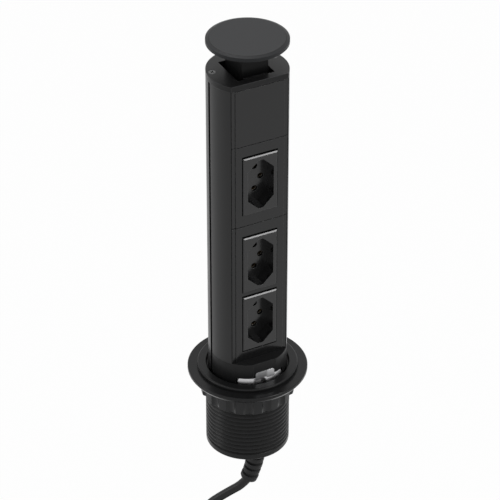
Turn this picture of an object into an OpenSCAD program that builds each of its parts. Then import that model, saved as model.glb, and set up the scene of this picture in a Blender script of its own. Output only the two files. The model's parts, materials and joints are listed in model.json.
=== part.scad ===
// Pop up desk socket: a round tower with three socket inserts that slides up through a desk top.
// The origin is on the tower's axis at the desk's top face. +Z is up and the sockets face -Y.
// It is drawn with the tower raised.

/* [Tower] */
// Diameter of the tower
tower_d = 60; // [59:0.5:61]
// Distance from the axis to the flat front of the panels
face_y = 19.5; // [19:0.25:20]
// Wall of the extruded profile
profile_wall = 2.4; // [2:0.1:2.6]
// Height of the base block's top face above the desk
base_top = 24.5; // [22:0.5:27]
// Height of the base block
base_h = 86.5; // [84:0.5:90]
// Wall of the base block
base_wall = 3.1; // [2.9:0.1:3.3]
// Thickness of the base block's top
base_top_t = 2.6; // [2:0.1:3]
// Width of the guide grooves
groove_w = 2.9; // [2.7:0.1:3.1]
// Depth of the guide grooves
groove_depth = 1.6; // [1.4:0.1:1.7]
// Distance of the grooves and end screws behind the tower's axis
groove_y = 1.5; // [1:0.25:2]
// Thickness of the end plate
end_plate_t = 4.3; // [4:0.1:5]

/* [Panels] */
// Height of the panel with two windows
double_panel_h = 121.4; // [120:0.2:124]
// Height of the panel with one window
single_panel_h = 68.1; // [67:0.1:70]
// Height of the blank panel
blank_panel_h = 46.7; // [46:0.1:50]
// Width over the panels
panel_w = 45.2; // [45:0.1:45.4]
// Width of the panels' flat front
panel_flat_w = 39.4; // [38:0.2:40]
// Setback of the panels' side strips
strip_setback = 0.6; // [0.3:0.1:0.8]
// Thickness of the panels
panel_t = 2.8; // [2.4:0.1:3]
// Open joint over each panel
panel_joint = 0.5; // [0.3:0.05:0.6]
// Open joint beside the panels
panel_side_gap = 0.5; // [0.3:0.05:0.6]
// Bottom edge of the single panel to its insert
single_insert_z = 9.3; // [8.6:0.1:10]
// Bottom edge of the double panel to its lower insert
lower_insert_z = 9.4; // [8.8:0.1:10]
// Distance between the two inserts of the double panel
insert_pitch = 53; // [52.8:0.1:53.4]

/* [Socket inserts] */
// Width of an insert
insert_w = 28; // [27:0.25:29]
// Height of an insert
insert_h = 48.5; // [48:0.1:48.8]
// How far an insert stands proud of the panels
insert_proud = 1.5; // [1:0.1:2]
// Bevel round the front of an insert
insert_bevel = 0.9; // [0.6:0.1:1.2]
// Gap beside an insert
window_side_gap = 0.5; // [0.3:0.05:0.6]
// Gap over an insert
window_top_gap = 1.2; // [0.8:0.1:1.3]
// Gap under an insert
window_low_gap = 0.25; // [0.2:0.05:0.4]
// Depth of the plug recess
recess_depth = 10.5; // [9.5:0.25:11]
// Width of the plug recess
recess_w = 21.2; // [20.5:0.1:22]
// Height of the plug recess
recess_h = 41; // [40:0.25:41.5]
// Width of the recess's flat ends
recess_end_w = 4; // [3:0.25:5]
// Height of the recess's straight sides
recess_side_h = 24.4; // [23:0.2:25]
// Thickness of the recess floor
floor_t = 2; // [1.5:0.1:2.5]
// Distance between the line and neutral pin holes
pin_spacing = 19; // [18.5:0.25:19.5]
// Sideways offset of the earth pin hole
earth_offset = 5; // [4.5:0.25:5.5]
// Diameter of the pins that the contacts take
pin_d = 4; // [3.8:0.1:4.2]
// Diameter of the pin holes
pin_hole_d = 4.8; // [4.6:0.1:5]

/* [Contacts] */
// Depth of a contact carrier
carrier_depth = 16; // [15:0.25:17]
// Wall of the contact sleeves
sleeve_wall = 0.55; // [0.4:0.05:0.6]
// Thickness of the busbars
bus_t = 1.2; // [1:0.1:1.4]
// Width of the busbars
bus_w = 3; // [2.6:0.1:3.2]

/* [Cap] */
// Thickness of the cap disc
cap_t = 3.8; // [3.4:0.1:4.6]
// Width of the cap disc's sloping rim
cap_bevel = 2.5; // [1.5:0.1:3]
// Height of the cap disc's sloping rim
cap_bevel_h = 0.9; // [0.5:0.05:1.2]
// Finger gap between the cap and the end plate
cap_gap = 21.6; // [20.5:0.1:22.5]
// Width of the cap's stem
stem_w = 22.4; // [21:0.2:23]
// Depth of the cap's stem, front to back
stem_l = 25.5; // [24.5:0.25:26]
// Distance of the stem's middle behind the axis
stem_y = 1.25; // [1:0.25:1.5]
// Corner radius of the stem
stem_r = 1.5; // [1:0.1:2]
// Wall of the stem
stem_wall = 2.2; // [2:0.1:2.4]
// Width of the slot in the end plate
slot_w = 29.6; // [29:0.1:30]
// Depth of the slot in the end plate, front to back
slot_l = 30.6; // [30:0.1:31]
// Distance of the slot's middle behind the axis
slot_y = 1.9; // [1.7:0.1:2.1]
// Thickness of the foot that keeps the stem in the slot
foot_t = 3; // [2.5:0.1:3.5]
// How far the foot reaches past the slot on each side
foot_overlap = 0.9; // [0.7:0.05:1]
// Depth of the guide box under the end plate
guide_depth = 36.1; // [35:0.1:38]
// Wall of the guide box
guide_wall = 1.6; // [1.4:0.1:1.7]
// Mean diameter of the cap spring
cap_spring_d = 18; // [17:0.25:19]
// Wire of the cap spring
cap_spring_wire = 1.6; // [1.4:0.1:1.8]
// Turns of the cap spring
cap_spring_turns = 5; // [4:1:6]

/* [Barrel and bezel] */
// Gap between the tower and the barrel's bore
slide_gap = 0.45; // [0.4:0.05:0.6]
// Depth of the barrel below the desk's top face
barrel_len = 64.7; // [62:0.1:68]
// Diameter over the thread
thread_d = 64.5; // [64.3:0.1:65.2]
// Depth of the thread
thread_depth = 0.8; // [0.6:0.05:0.9]
// Pitch of the thread
thread_pitch = 3.7; // [3.5:0.1:4]
// Plain lip at the barrel's lower end
lip_h = 4.5; // [4:0.1:5]
// Diameter of the flange
flange_d = 92; // [90:0.5:96]
// Height of the flange's top face
flange_top = 5; // [4.8:0.1:5.4]
// Outer diameter of the bezel ring
bezel_d = 77.2; // [76.5:0.1:78]
// Height of the bezel ring over the flange
bezel_h = 3.1; // [2.8:0.1:3.5]
// Gap between the tower and the bezel ring
bezel_gap = 1.3; // [1:0.1:1.5]
// Outer diameter of the glide ring
glide_d = 67.6; // [67:0.1:68]
// Height of the glide ring
glide_h = 2.9; // [2.6:0.1:3]
// Gap between the tower and the glide ring
glide_gap = 0.3; // [0.25:0.05:0.35]
// Thickness of the seat gasket
gasket_t = 0.8; // [0.6:0.1:1]
// Outer diameter of the seat gasket
gasket_d = 86; // [85:0.5:87]
// Width of the seat gasket
gasket_w = 7; // [6:0.5:8]
// Diameter of the guide pins
guide_pin_d = 2.2; // [2:0.05:2.3]

/* [Nut and washer] */
// Outer diameter of the nut
nut_d = 72; // [71:0.25:73]
// Height of the nut
nut_h = 13.3; // [12:0.1:14]
// Number of scallops
scallops = 16; // [12:1:18]
// Radius of the scallop cutter
scallop_r = 5; // [4.5:0.1:5.5]
// Depth of the scallops
scallop_depth = 2.2; // [1.6:0.1:2.4]
// Gap between the thread and the nut
nut_gap = 0.3; // [0.3:0.05:0.4]
// Outer diameter of the clamp washer
washer_d = 75; // [74:0.25:77]
// Thickness of the clamp washer
washer_t = 1.5; // [1:0.1:2]
// Depth of the washer's top under the desk's top face
washer_z = 3; // [2.8:0.1:3.4]

/* [Friction spring] */
// Bottom edge of the band
band_z = 6.5; // [6:0.1:7]
// Height of the band
band_h = 5; // [4.6:0.1:5.4]
// Thickness of the band
band_t = 0.8; // [0.6:0.05:0.9]
// Width of the tongue
tongue_w = 15.8; // [14:0.2:15.8]
// Height of the tongue's top
tongue_top = 16.5; // [15:0.25:18]

/* [Cord] */
// Diameter of the lead
cord_d = 7.2; // [7:0.1:7.4]
// Diameter of the boot at its root
boot_root_d = 16.4; // [16:0.1:16.6]
// Diameter of the boot at its end
boot_end_d = 13; // [12.4:0.1:13.6]
// Width of the round folds of the hank, to the middle of the outermost lead
hank_w = 58.4; // [58:0.1:58.8]
// Straight length of the hank's runs
hank_run = 86; // [86:1:90]
// Thickness of the hank
hank_t = 21.6; // [21.6:0.1:22]
// Height of the tie round the hank
tie_h = 12; // [10:0.5:14]
// Width of the plug
plug_w = 34; // [32:0.5:35]
// Thickness of the plug
plug_t = 17; // [16:0.5:18]
// Length of the plug's body
plug_l = 30; // [28:0.5:32]
// Length of the plug's pins
plug_pin_l = 19; // [18:0.5:19]

/* [Hidden] */
$fn = 96;

// A cut runs this far past the face that it opens
past = 1;
// Gap of parts that fit into each other
fit = 0.3;
// Gap of a screw or rivet in its hole
screw_gap = 0.1;

tower_r = tower_d / 2;
profile_r = tower_r - profile_wall;
profile_h = double_panel_h + single_panel_h + blank_panel_h;
profile_top = base_top + profile_h;
end_top = profile_top + end_plate_t;
groove_floor = tower_r - groove_depth;
single_z = base_top + double_panel_h;
blank_z = single_z + single_panel_h;

panel_back = face_y - panel_t;
lip_t = 1.5;
lip_reach = 3.6;
profile_front = face_y - 0.5;
port_x = tower_r - 5.2;
port_y = groove_y + 5.3;
port_r = 1.45;
port_wall_r = 3;

insert_front = face_y + insert_proud;
insert_back = insert_front - recess_depth - floor_t;
floor_edge = 0.5;
floor_gap = 0.1;
insert_flange = 1.6;
insert_flange_t = 2;
window_w = insert_w + 2 * window_side_gap;
housing_w = insert_w - 1;
housing_h = insert_h - 1.5;
insert_bottoms = [
    base_top + lower_insert_z,
    base_top + lower_insert_z + insert_pitch,
    single_z + single_insert_z
];
insert_middles = [for (z = insert_bottoms) z + insert_h / 2];

sleeve_r = pin_d / 2 + 0.05 + sleeve_wall;
carrier_back = carrier_depth - insert_back;
carrier_w = insert_w - 3;
carrier_h = insert_h - 4.5;
carrier_screw_r = 1;
carrier_screw_seat = 5.5;
carrier_screw = [housing_w / 2 - 2.5, housing_h / 2 - 3.5];
carrier_screw_end = -insert_back - carrier_screw_seat - 1.5;
bus_gap = 0.5;
bus_step = 2.7;
bus_y = carrier_back + bus_gap;
neutral_y = bus_y + bus_step;
bus_low = -3;
bus_over = 2;
live_x = -7.1;

cap_z = end_top + cap_gap;
stem_front = stem_y - stem_l / 2;
foot_top = profile_top - fit;
foot_w = slot_w + 2 * foot_overlap;
foot_l = slot_l + 2 * foot_overlap;
stem_lip = 0.8;
stem_lip_z = end_top - 1.4;
stem_lip_h = 1;
cap_screw_y = 8;
cap_screw_r = 1.25;
cap_hole_r = cap_screw_r + screw_gap;
cap_head_r = 2.3;
cap_screw_seat = foot_top - 1.4;
foot_low = foot_top - foot_t;
guide_w = foot_w + 0.8;
guide_l = foot_l + 0.8;
guide_floor_t = 2;
guide_floor = profile_top - guide_depth + guide_floor_t;
ear_x = 24.3;
ear_y = [-8, 0];
ear_t = 2;
ear_low = profile_top - ear_t;
spring_seat_r = cap_spring_d / 2 - cap_spring_wire / 2 - 0.5;
guide_screw_r = 1.1;
guide_screw_x = 21;
guide_screw_y = (ear_y[0] + ear_y[1]) / 2;

end_screw_l = 16;
base_screw_l = 20;
base_screw_seat = base_top - 5;
cover_screw_l = 10;

base_bottom = base_top - base_h;
base_r = tower_r - base_wall;
groove_bottom = -4.1;
spigot_h = 5;
spigot_r = profile_r - fit;
spigot_wall = 2;
spigot_y = port_y + 5;
chord_y = tower_r - 1.8;
chord_w = tongue_w + 3;
opening_w = 24;
opening_l = 14;
opening_y = bus_y + 1.5;
shelf_t = 3;
block_h = 22;
shelf_top = -14;
wire_r = 1.5;

cover_t = 2.3;
cover_bottom = base_bottom - cover_t;
cover_screw_top = cover_bottom + cover_screw_l;
cover_gap = 0.5;
cover_boss_r = 3.2;
cover_boss_at = base_r - 2.6;
cover_boss_top = base_bottom + 12;
cover_hole_r = 1.1 + screw_gap;

clamp_low = base_bottom + 5;
clamp_high = base_bottom + 13;
clamp_mid = (clamp_low + clamp_high) / 2;
clamp_t = 6.5;
clamp_seat_t = 9;
clamp_half_w = 11;
clamp_screw_x = 8;
clamp_hole_r = 1.1 + screw_gap;
clamp_slit = 0.6;
cord_room = cord_d / 2 + 0.2;

barrel_bore = tower_r + slide_gap;
thread_r = thread_d / 2;
thread_root = thread_r - thread_depth;
thread_top = -6;
glide_top = flange_top - 0.1;
glide_z = glide_top - glide_h;
glide_r = glide_d / 2;
bezel_r = bezel_d / 2;
bezel_bore = tower_r + bezel_gap;
flange_r = flange_d / 2;
gasket_r = gasket_d / 2;
flange_lip_r = gasket_r + fit + 1.1;
pin_z = -2.7;
bezel_screw_at = glide_r + 2.4;

nut_bore = thread_r + nut_gap;
nut_r = nut_d / 2;
nut_top = -washer_z - washer_t - 0.2;
scallop_at = nut_r - scallop_depth + scallop_r;
scallop_turn = -3.5;

band_out = tower_r - 0.45;
band_in = band_out - band_t;
band_groove_r = band_in - 0.15;
band_turn = [-42, 32];
rivet_turn = -3;
rivet_z = band_z + band_h / 2;
tongue_back = chord_y;
tongue_t = 0.7;

// The lead lies in the upright plane through the axis along this direction
lead_way = [0.887, -0.462];
// Each point is its distance along that direction and its height over the base block's bottom
boot_route = [
    [7, 0], [7, -4], [7, -8], [6.9, -13], [6.7, -18], [6.3, -23], [5.5, -28],
    [4.5, -33], [3.1, -38], [1.9, -42], [0.6, -45.3]
];
lead_route = [
    [0.56, -45.4], [-1.1, -48.2], [-3.5, -51.2], [-7.2, -54.9], [-12, -58.3],
    [-18, -62.7], [-24, -67.3], [-29, -71.8], [-32.8, -77.4], [-35.1, -84],
    [-35.9, -91], [-35.9, -108]
];
hank_mid = -6.7;
hank_top = -115;
hank_low = hank_top - hank_run - hank_w / 2 - cord_d / 2;
hank_side = 7.2;
tail_x = hank_mid - hank_w / 2 + cord_d;
tail_route = [[tail_x, hank_low + 15], [tail_x, hank_low + 6], [tail_x, hank_low - 4.2]];
plug_boot_l = 24;
wire_top = -6;
sheath_rise = 22;
sheath_top = base_bottom + sheath_rise;
wire_spread_low = sheath_top + 1.5;
wire_spread_top = -20;
lead_root = boot_route[0];

// Point of the lead's plane, set off to one side of it
function in_plane(p, side = 0) = [
    p[0] * lead_way[0] + side * lead_way[1],
    p[0] * lead_way[1] - side * lead_way[0],
    base_bottom + p[1]
];

function unit(v) = v / norm(v);

// Way along a route at point i
function way(route, i) =
    unit(route[min(i + 1, len(route) - 1)] - route[max(i - 1, 0)]);

// Ring of points square to the route at point i, with one side along the given direction
function ring(route, i, r, sides, across) =
    let (
        t = way(route, i),
        a = unit(across - (across * t) * t),
        b = cross(t, a)
    )
    [for (k = [0:sides - 1]) let (w = 360 * k / sides) route[i] + r * (cos(w) * a + sin(w) * b)];

// Solid through rings of equally many points
module skin(rings) {
    n = len(rings[0]);
    last = len(rings) - 1;
    points = [for (r = rings) each r];
    sides = [
        for (i = [0:last - 1], k = [0:n - 1])
            let (a = i * n + k, b = i * n + (k + 1) % n)
                each [[a, a + n, b], [b, a + n, b + n]]
    ];
    low = [for (k = [0:n - 1]) k];
    high = [for (k = [n - 1:-1:0]) last * n + k];
    polyhedron(points, concat(sides, [low, high]));
}

module tube_along(route, radii, sides, across) {
    skin([for (i = [0:len(route) - 1]) ring(route, i, radii[min(i, len(radii) - 1)], sides, across)]);
}

module block(low, high) {
    translate(low)
        cube(high - low);
}

// Disc or tube standing between two heights
module pipe(outer, inner, low, high) {
    difference() {
        translate([0, 0, low])
            cylinder(h = high - low, r = outer);
        translate([0, 0, low - past])
            cylinder(h = high - low + 2 * past, r = inner);
    }
}

module post(at, r, low, high) {
    translate([at[0], at[1], low])
        cylinder(h = high - low, r = r);
}

// Countersunk screw with a cross recess, head face at the origin, pointing down
module countersunk(head_r, shank_r, length) {
    head_h = head_r - shank_r;
    slot_l = 1.3 * head_r;
    difference() {
        union() {
            translate([0, 0, -head_h])
                cylinder(h = head_h, r1 = shank_r, r2 = head_r);
            translate([0, 0, -length])
                cylinder(h = length - head_h / 2, r = shank_r);
        }
        for (turn = [45, 135])
            rotate(turn)
                block([-slot_l / 2, -0.35, -0.8], [slot_l / 2, 0.35, past]);
    }
}

// Cheese-head screw, seat of the head at the origin, pointing down
module cheese(head_r, head_h, shank_r, length) {
    difference() {
        union() {
            cylinder(h = head_h, r = head_r);
            translate([0, 0, -length])
                cylinder(h = length + head_h / 2, r = shank_r);
        }
        block([-head_r - past, -0.4, 0.6 * head_h], [head_r + past, 0.4, head_h + past]);
    }
}

// Block with round upright edges
module round_post(low, high, r) {
    block([low[0] + r, low[1], low[2]], [high[0] - r, high[1], high[2]]);
    block([low[0], low[1] + r, low[2]], [high[0], high[1] - r, high[2]]);
    for (x = [low[0] + r, high[0] - r], y = [low[1] + r, high[1] - r])
        post([x, y], r, low[2], high[2]);
}

// Guide grooves of the tower's two sides
module grooves(low, high) {
    for (s = [0, 1])
        mirror([s, 0, 0])
            block(
                [groove_floor, groove_y - groove_w / 2, low],
                [tower_r + past, groove_y + groove_w / 2, high]
            );
}

module at_ports() {
    for (s = [-1, 1])
        translate([s * port_x, port_y, 0])
            children();
}

// Places of the two screws that hold the cap's guide box
module at_guide_screws() {
    for (s = [-1, 1])
        translate([s * guide_screw_x, guide_screw_y, 0])
            children();
}

module barrel() {
    teeth = floor((barrel_len - lip_h + thread_top) / thread_pitch);
    thread_low = -barrel_len + lip_h;
    thread = [
        for (i = [0:teeth - 1]) let (z = thread_low + i * thread_pitch) each [
            [thread_root, z + 0.15 * thread_pitch],
            [thread_root, z + 0.35 * thread_pitch],
            [thread_r, z + 0.65 * thread_pitch],
            [thread_r, z + 0.85 * thread_pitch]
        ]
    ];
    color("#303234")
        difference() {
            rotate_extrude()
                polygon(concat(
                    [
                        [barrel_bore, -barrel_len],
                        [thread_r - 0.8, -barrel_len],
                        [thread_r, -barrel_len + 0.8],
                        [thread_r, thread_low]
                    ],
                    thread,
                    [
                        [thread_root, thread_top],
                        [thread_root, gasket_t],
                        [gasket_r + fit, gasket_t],
                        [gasket_r + fit, 0.2],
                        [flange_lip_r, 0.2],
                        [flange_r, 2.5],
                        [flange_r, flange_top - 0.5],
                        [flange_r - 0.5, flange_top],
                        [glide_r + 0.1, flange_top],
                        [glide_r + 0.1, glide_z],
                        [barrel_bore, glide_z]
                    ]
                ));
            for (s = [-1, 1])
                translate([s * barrel_bore - s * past, groove_y, pin_z])
                    rotate([0, s * 90, 0])
                        cylinder(h = thread_root - barrel_bore + 2 * past, r = guide_pin_d / 2 + 0.05);
            for (turn = [90, 210, 330])
                rotate(turn)
                    translate([bezel_screw_at, 0, gasket_t])
                        bezel_screw_room();
        }
}

module bezel_screw_room() {
    translate([0, 0, -past])
        cylinder(h = flange_top + 2 * past, r = 1.3 + screw_gap);
    translate([0, 0, -0.01])
        cylinder(h = 1.5, r1 = 2.9, r2 = 1.4);
}

module bezel_ring() {
    top = flange_top + bezel_h;
    color("#38393a")
        difference() {
            rotate_extrude()
                polygon([
                    [bezel_bore, flange_top],
                    [bezel_r, flange_top],
                    [bezel_r, top - 1.1],
                    [bezel_r - 0.2, top - 0.55],
                    [bezel_r - 0.55, top - 0.2],
                    [bezel_r - 1.1, top],
                    [bezel_bore + 0.8, top],
                    [bezel_bore, top - 0.8]
                ]);
            for (turn = [90, 210, 330])
                rotate(turn)
                    translate([bezel_screw_at, 0, flange_top - past])
                        cylinder(h = bezel_h - 1 + past, r = 1.3 + screw_gap);
        }
}

module bezel_screws() {
    color("#8d9094")
        for (turn = [90, 210, 330])
            rotate(turn)
                translate([bezel_screw_at, 0, gasket_t + 0.05])
                    mirror([0, 0, 1])
                        countersunk(2.7, 1.3, flange_top - gasket_t + bezel_h - 1.4);
}

module glide_ring() {
    color("#26272a")
        pipe(glide_r, tower_r + glide_gap, glide_z, glide_top);
}

module guide_pins() {
    inner = groove_floor + 0.4;
    color("#9a9da0")
        for (s = [-1, 1])
            translate([s * inner, groove_y, pin_z])
                rotate([0, s * 90, 0])
                    cylinder(h = thread_root - 0.2 - inner, r = guide_pin_d / 2);
}

module seat_gasket() {
    color("#1c1c1c")
        pipe(gasket_r, gasket_r - gasket_w, 0, gasket_t);
}

module clamp_washer() {
    color("#85888b")
        pipe(washer_d / 2, thread_r + 0.35, -washer_z - washer_t, -washer_z);
}

module nut() {
    low = nut_top - nut_h;
    color("#303234")
        difference() {
            rotate_extrude()
                polygon([
                    [nut_bore, low],
                    [nut_r - 0.6, low],
                    [nut_r, low + 0.6],
                    [nut_r, nut_top - 0.6],
                    [nut_r - 0.6, nut_top],
                    [nut_bore, nut_top]
                ]);
            for (i = [0:scallops - 1])
                rotate(scallop_turn + 360 / scallops * i)
                    post([scallop_at, 0], scallop_r, low - past, nut_top + past);
        }
}

module tower_profile() {
    lip_in = panel_w / 2 - lip_reach;
    lip_out = sqrt(pow(profile_r, 2) - pow(panel_back, 2)) + 0.4;
    color("#3d3e40")
        difference() {
            union() {
                difference() {
                    pipe(tower_r, profile_r, base_top, profile_top);
                    block(
                        [-panel_w / 2 - panel_side_gap, -tower_r - past, base_top - past],
                        [panel_w / 2 + panel_side_gap, -panel_back, profile_top + past]
                    );
                    block(
                        [-tower_r - past, -tower_r - past, base_top - past],
                        [tower_r + past, -profile_front, profile_top + past]
                    );
                }
                for (s = [0, 1])
                    mirror([s, 0, 0])
                        block(
                            [lip_in, -panel_back, base_top],
                            [lip_out, -panel_back + lip_t, profile_top]
                        );
                at_ports()
                    post([0, 0], port_wall_r, base_top, profile_top);
            }
            at_ports()
                post([0, 0], port_r, base_top - past, profile_top + past);
            grooves(base_top - past, profile_top + past);
        }
}

module end_plate() {
    color("#3b3c3e")
        difference() {
            translate([0, 0, profile_top])
                cylinder(h = end_plate_t, r = tower_r);
            block(
                [-tower_r - past, -tower_r - past, profile_top - past],
                [tower_r + past, -face_y, end_top + past]
            );
            block(
                [-slot_w / 2, slot_y - slot_l / 2, profile_top - past],
                [slot_w / 2, slot_y + slot_l / 2, end_top + past]
            );
            at_ports() {
                post([0, 0], port_r + screw_gap, profile_top - past, end_top + past);
                translate([0, 0, end_top - 1.35])
                    cylinder(h = 1.36, r1 = 1.45, r2 = 2.81);
            }
            at_guide_screws()
                post([0, 0], guide_screw_r + screw_gap, profile_top - past, end_top - 1.3);
        }
}

module end_plate_screws() {
    color("#2a2b2c")
        translate([0, 0, end_top - 0.05])
            at_ports()
                countersunk(2.65, 1.3, end_screw_l);
}

// Panel with its edges at the given heights and windows for the inserts at those heights
module panel(low, high, inserts, low_gaps) {
    top = high - panel_joint;
    rib = [panel_w / 2 - lip_reach - 1.1, panel_w / 2 - lip_reach - 0.1];
    difference() {
        union() {
            block([-panel_w / 2, -face_y + strip_setback, low], [panel_w / 2, -panel_back, top]);
            block([-panel_flat_w / 2, -face_y, low], [panel_flat_w / 2, -panel_back, top]);
            for (s = [0, 1])
                mirror([s, 0, 0])
                    block([rib[0], -panel_back, low + 1], [rib[1], -panel_back + lip_t + 1, high - 1]);
        }
        for (i = [0:1:len(inserts) - 1])
            block(
                [-window_w / 2, -face_y - past, inserts[i] - low_gaps[i]],
                [window_w / 2, -panel_back + past, inserts[i] + insert_h + window_top_gap]
            );
    }
}

module panel_blank() {
    color("#393a3c")
        panel(blank_z, profile_top, [], []);
}

module panel_single() {
    color("#393a3c")
        panel(single_z, blank_z, [insert_bottoms[2]], [window_low_gap]);
}

module panel_double() {
    color("#393a3c")
        panel(
            base_top,
            single_z,
            [insert_bottoms[0], insert_bottoms[1]],
            [window_low_gap + 1, window_low_gap]
        );
}

module recess_outline() {
    polygon([
        [recess_end_w / 2, recess_h / 2],
        [recess_w / 2, recess_side_h / 2],
        [recess_w / 2, -recess_side_h / 2],
        [recess_end_w / 2, -recess_h / 2],
        [-recess_end_w / 2, -recess_h / 2],
        [-recess_w / 2, -recess_side_h / 2],
        [-recess_w / 2, recess_side_h / 2],
        [-recess_end_w / 2, recess_h / 2]
    ]);
}

// Places of the line, neutral and earth pins about an insert's middle
pin_places = [[0, pin_spacing / 2], [0, -pin_spacing / 2], [earth_offset, 0]];

// Hole along Y between two depths
module hole_y(x, z, r, front, back) {
    translate([x, front, z])
        rotate([-90, 0, 0])
            cylinder(h = back - front, r = r);
}

// Places of the two screws that hold a contact carrier, about an insert's middle height
module at_carrier_screws(mid) {
    for (s = [-1, 1])
        translate([s * carrier_screw[0], 0, mid + s * carrier_screw[1]])
            children();
}

module insert(i) {
    mid = insert_middles[i];
    half_w = insert_w / 2;
    half_h = insert_h / 2;
    flange_w = window_w / 2 + insert_flange;
    color("#434447")
        translate([0, 0, mid])
            difference() {
                union() {
                    intersection() {
                        translate([0, 0, -half_h])
                            linear_extrude(insert_h)
                                polygon([
                                    [-half_w, -panel_back],
                                    [-half_w, insert_bevel - insert_front],
                                    [insert_bevel - half_w, -insert_front],
                                    [half_w - insert_bevel, -insert_front],
                                    [half_w, insert_bevel - insert_front],
                                    [half_w, -panel_back]
                                ]);
                        translate([-half_w, 0, 0])
                            rotate([90, 0, 90])
                                linear_extrude(insert_w)
                                    polygon([
                                        [-panel_back, half_h],
                                        [insert_bevel - insert_front, half_h],
                                        [-insert_front, half_h - insert_bevel],
                                        [-insert_front, insert_bevel - half_h],
                                        [insert_bevel - insert_front, -half_h],
                                        [-panel_back, -half_h]
                                    ]);
                    }
                    block(
                        [-flange_w, -panel_back, -half_h - insert_flange],
                        [flange_w, -panel_back + insert_flange_t, half_h + insert_flange]
                    );
                    block(
                        [-housing_w / 2, -panel_back, -housing_h / 2],
                        [housing_w / 2, -insert_back, housing_h / 2]
                    );
                }
                translate([0, -insert_back + past, 0])
                    rotate([90, 0, 0])
                        linear_extrude(recess_depth + floor_t + 2 * past)
                            recess_outline();
                translate([0, -insert_back + past, 0])
                    rotate([90, 0, 0])
                        linear_extrude(floor_t + past)
                            offset(delta = floor_edge)
                                recess_outline();
                at_carrier_screws(0)
                    hole_y(0, 0, carrier_screw_r + screw_gap, carrier_screw_end, -insert_back + past);
            }
}

module socket_insert_top() {
    insert(2);
}

module socket_insert_middle() {
    insert(1);
}

module socket_insert_bottom() {
    insert(0);
}

// Plate with the pin holes, in a seat in the back of an insert and held there by the contact carrier
module recess_floor(i) {
    color("#38393c")
        translate([0, -insert_back, insert_middles[i]])
            difference() {
                rotate([90, 0, 0])
                    linear_extrude(floor_t)
                        offset(delta = floor_edge - floor_gap)
                            recess_outline();
                for (p = pin_places)
                    hole_y(p[0], p[1], pin_hole_d / 2, -floor_t - past, past);
            }
}

module recess_floor_top() {
    recess_floor(2);
}

module recess_floor_middle() {
    recess_floor(1);
}

module recess_floor_bottom() {
    recess_floor(0);
}

module carrier(i) {
    color("#d8d4c8")
        translate([0, 0, insert_middles[i]])
            difference() {
                block(
                    [-carrier_w / 2, -insert_back, -carrier_h / 2],
                    [carrier_w / 2, carrier_back, carrier_h / 2]
                );
                for (p = pin_places)
                    hole_y(p[0], p[1], sleeve_r + fit, -insert_back - past, carrier_back + past);
                at_carrier_screws(0)
                    hole_y(0, 0, carrier_screw_r + screw_gap, -insert_back - past, carrier_back + past);
            }
}

module contact_carrier_top() {
    carrier(2);
}

module contact_carrier_middle() {
    carrier(1);
}

module contact_carrier_bottom() {
    carrier(0);
}

module carrier_screws() {
    color("#9a9da0")
        for (mid = insert_middles)
            at_carrier_screws(mid)
                translate([0, carrier_back, 0])
                    rotate([-90, 0, 0])
                        cheese(1.8, 1.5, carrier_screw_r, carrier_depth + carrier_screw_seat);
}

// Contact sleeve for one pin, closed at the back
module sleeve(x, z, back) {
    difference() {
        hole_y(x, z, sleeve_r, -insert_back + 1, back);
        hole_y(x, z, pin_d / 2 + 0.05, -insert_back, carrier_back - 2);
    }
}

module live_busbar() {
    z = pin_spacing / 2;
    color("#b99a4b") {
        block(
            [live_x - bus_w / 2, bus_y, bus_low],
            [live_x + bus_w / 2, bus_y + bus_t, insert_middles[2] + z + bus_over]
        );
        for (mid = insert_middles) {
            sleeve(0, mid + z, bus_y + 0.1);
            block([live_x, bus_y, mid + z - bus_over], [bus_over, bus_y + bus_t, mid + z + bus_over]);
        }
    }
}

module neutral_busbar() {
    z = -pin_spacing / 2;
    color("#b99a4b") {
        block(
            [-bus_w / 2, neutral_y, bus_low],
            [bus_w / 2, neutral_y + bus_t, insert_middles[2] + z + bus_over]
        );
        for (mid = insert_middles)
            sleeve(0, mid + z, neutral_y + 0.1);
    }
}

module earth_busbar() {
    color("#b99a4b") {
        block(
            [earth_offset - bus_w / 2, bus_y, bus_low],
            [earth_offset + bus_w / 2, bus_y + bus_t, insert_middles[2] + bus_over]
        );
        for (mid = insert_middles)
            sleeve(earth_offset, mid, bus_y + 0.1);
    }
}

module cap_guide() {
    low = profile_top - guide_depth;
    color("#4a4b4d")
        difference() {
            union() {
                block(
                    [-guide_w / 2 - guide_wall, slot_y - guide_l / 2 - guide_wall, low],
                    [guide_w / 2 + guide_wall, slot_y + guide_l / 2 + guide_wall, profile_top]
                );
                block([-ear_x, ear_y[0], ear_low], [ear_x, ear_y[1], profile_top]);
            }
            difference() {
                block(
                    [-guide_w / 2, slot_y - guide_l / 2, guide_floor],
                    [guide_w / 2, slot_y + guide_l / 2, profile_top + past]
                );
                post([0, slot_y], spring_seat_r, guide_floor - past, guide_floor + 2.5);
            }
            at_guide_screws()
                post([0, 0], guide_screw_r + screw_gap, ear_low - past, profile_top + past);
        }
}

module guide_screws() {
    color("#9a9da0")
        at_guide_screws()
            translate([0, 0, ear_low])
                mirror([0, 0, 1])
                    cheese(2, 1.6, guide_screw_r, ear_t + end_plate_t - 1.6);
}

module cap_spring() {
    steps = 16;
    sides = 8;
    coil_r = cap_spring_d / 2;
    wire = cap_spring_wire / 2;
    low = guide_floor + wire;
    high = foot_top - foot_t - wire;
    count = cap_spring_turns * steps;
    color("#a8abae")
        skin([
            for (i = [0:count])
                let (w = 360 * i / steps, z = low + (high - low) * i / count)
                    [
                        for (k = [0:sides - 1])
                            let (v = 360 * k / sides, r = coil_r + wire * cos(v))
                                [r * cos(w), slot_y + r * sin(w), z + wire * sin(v)]
                    ]
        ]);
}

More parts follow.
